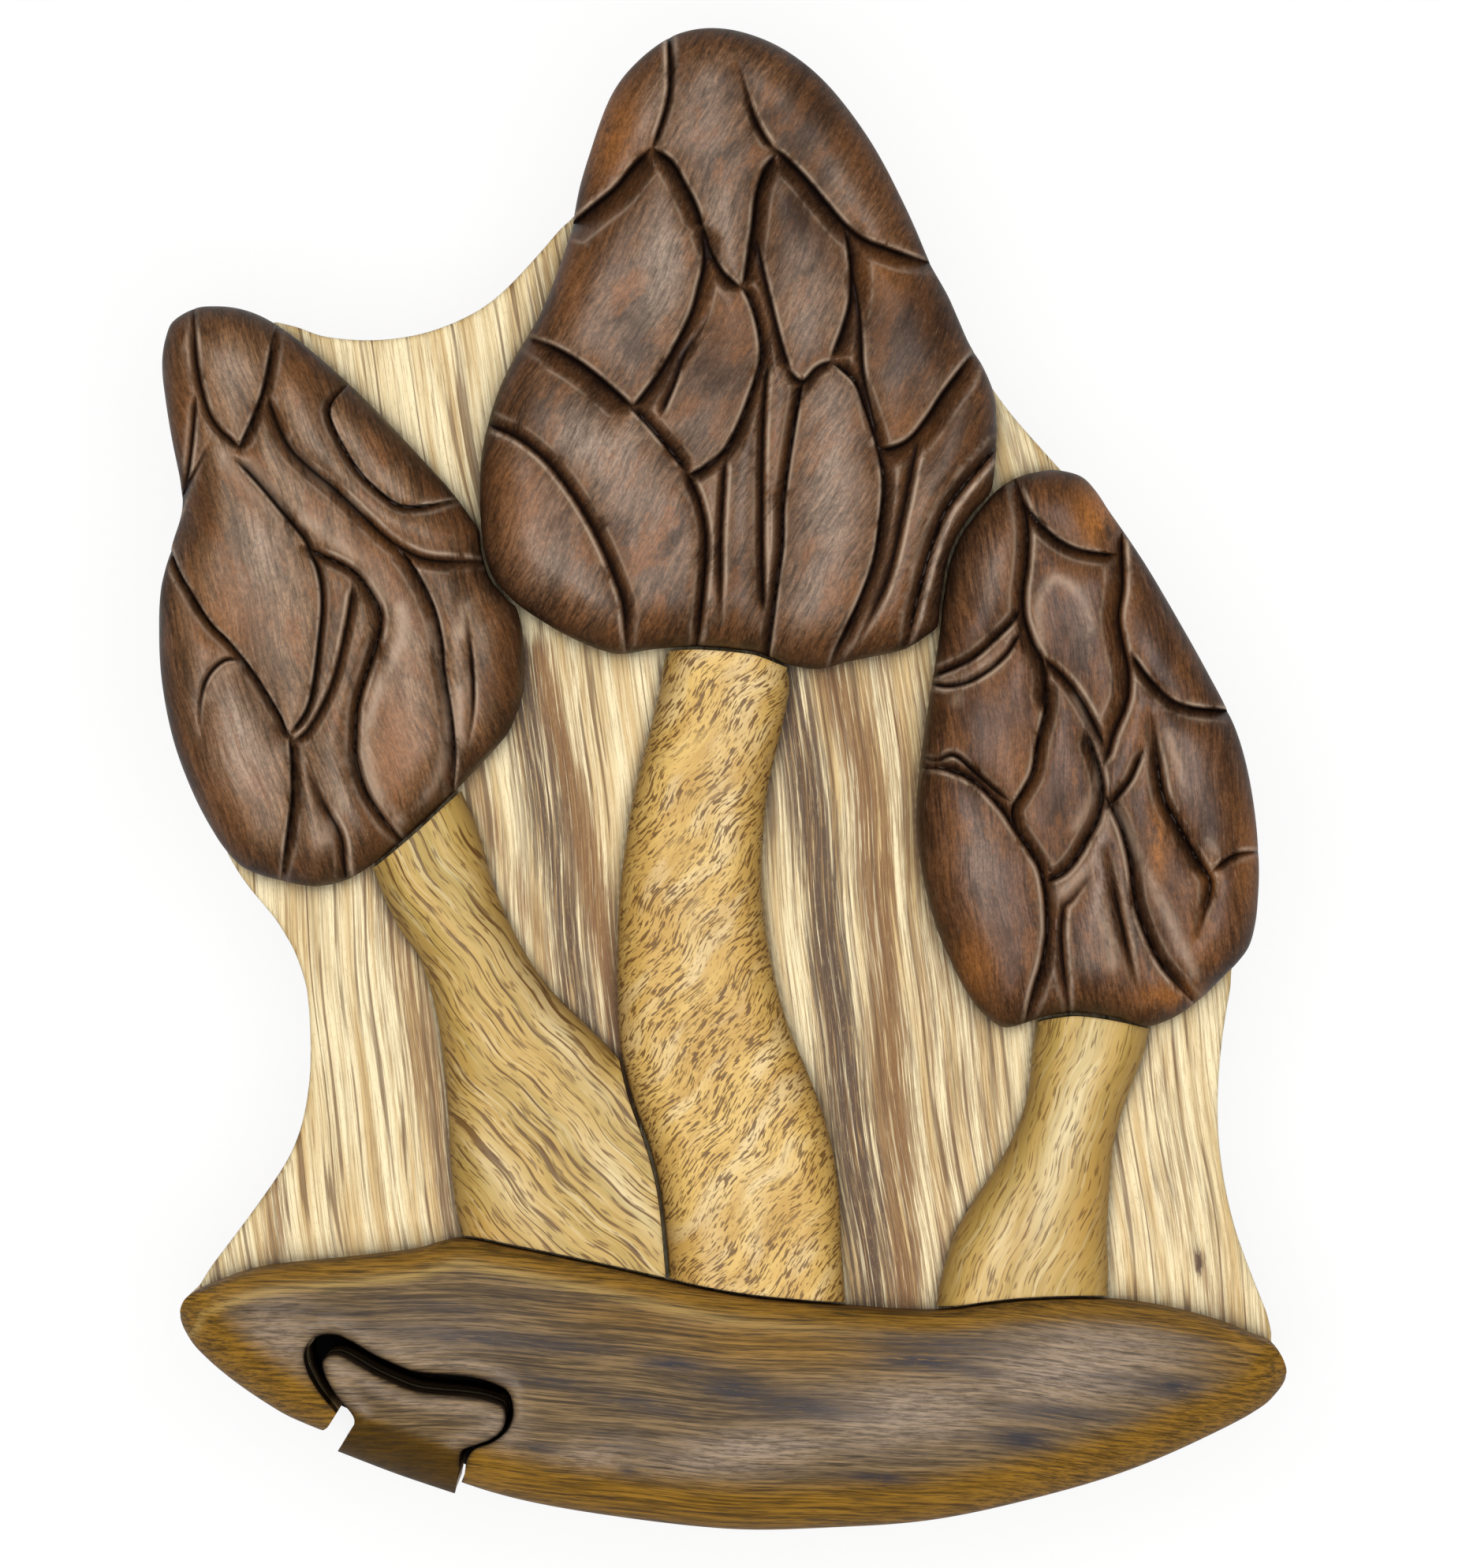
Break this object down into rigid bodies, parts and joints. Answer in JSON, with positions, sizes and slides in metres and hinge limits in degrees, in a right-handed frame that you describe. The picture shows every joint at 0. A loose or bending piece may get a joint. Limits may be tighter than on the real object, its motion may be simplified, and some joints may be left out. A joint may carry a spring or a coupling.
{
  "type": "puzzle box",
  "caption": "Flat-backed wooden puzzle box: an inlaid relief of carved mushrooms on its lid, a felt-lined compartment inside and a jigsaw key that lifts out.",
  "frame": {"origin": "on the box's flat back, under the middle of the outline's bounding box", "axes": "+Z out of the picture's face, +Y from the mound to the tip of the large cap, +X to the picture's right"},
  "size_m": [0.1052, 0.1401, 0.04],
  "materials": {
    "dark_walnut": "satin lacquer over dark brown wood",
    "red_walnut": "satin lacquer over warm brown wood",
    "plum_walnut": "satin lacquer over deep plum-brown wood",
    "streaked_cream": "satin lacquer over cream wood with brown and grey streaks",
    "wavy_gold": "satin lacquer over golden wood with short wavy flecks",
    "olive_gold": "satin lacquer over olive-gold wood with long dark grain lines",
    "mound_olive": "satin lacquer over dark olive-brown wood with blue-black streaks",
    "case_brown": "satin lacquer over mid-brown wood",
    "back_tan": "matt oil over tan wood",
    "black_felt": "flocked felt",
    "nickel": "nickel plate"
  },
  "bodies": {
    "case": {"back_panel": "back_tan", "case_wall": "case_brown", "compartment_lining": "black_felt", "case_magnet_1": "nickel", "case_magnet_2": "nickel", "case_magnet_3": "nickel", "key_seat_magnet": "nickel"},
    "lid": {"lid_panel": "streaked_cream", "cap_center": "dark_walnut", "cap_left": "red_walnut", "cap_right": "plum_walnut", "stem_center": "wavy_gold", "stem_left": "olive_gold", "stem_right": "olive_gold", "mound": "mound_olive", "lid_magnet_1": "nickel", "lid_magnet_2": "nickel", "lid_magnet_3": "nickel"},
    "key": {"key_face": "mound_olive", "key_panel_layer": "streaked_cream", "key_core": "case_brown", "key_back": "back_tan", "key_magnet": "nickel"}
  },
  "joints": [
    {"name": "key_slide", "type": "slide", "parent": "case", "child": "key", "axis": [0, 0, 1], "range_m": [0, 0.045]},
    {"name": "lid_lift", "type": "slide", "parent": "case", "child": "lid", "axis": [0, 0, 1], "range_m": [0, 0.045]}
  ]
}
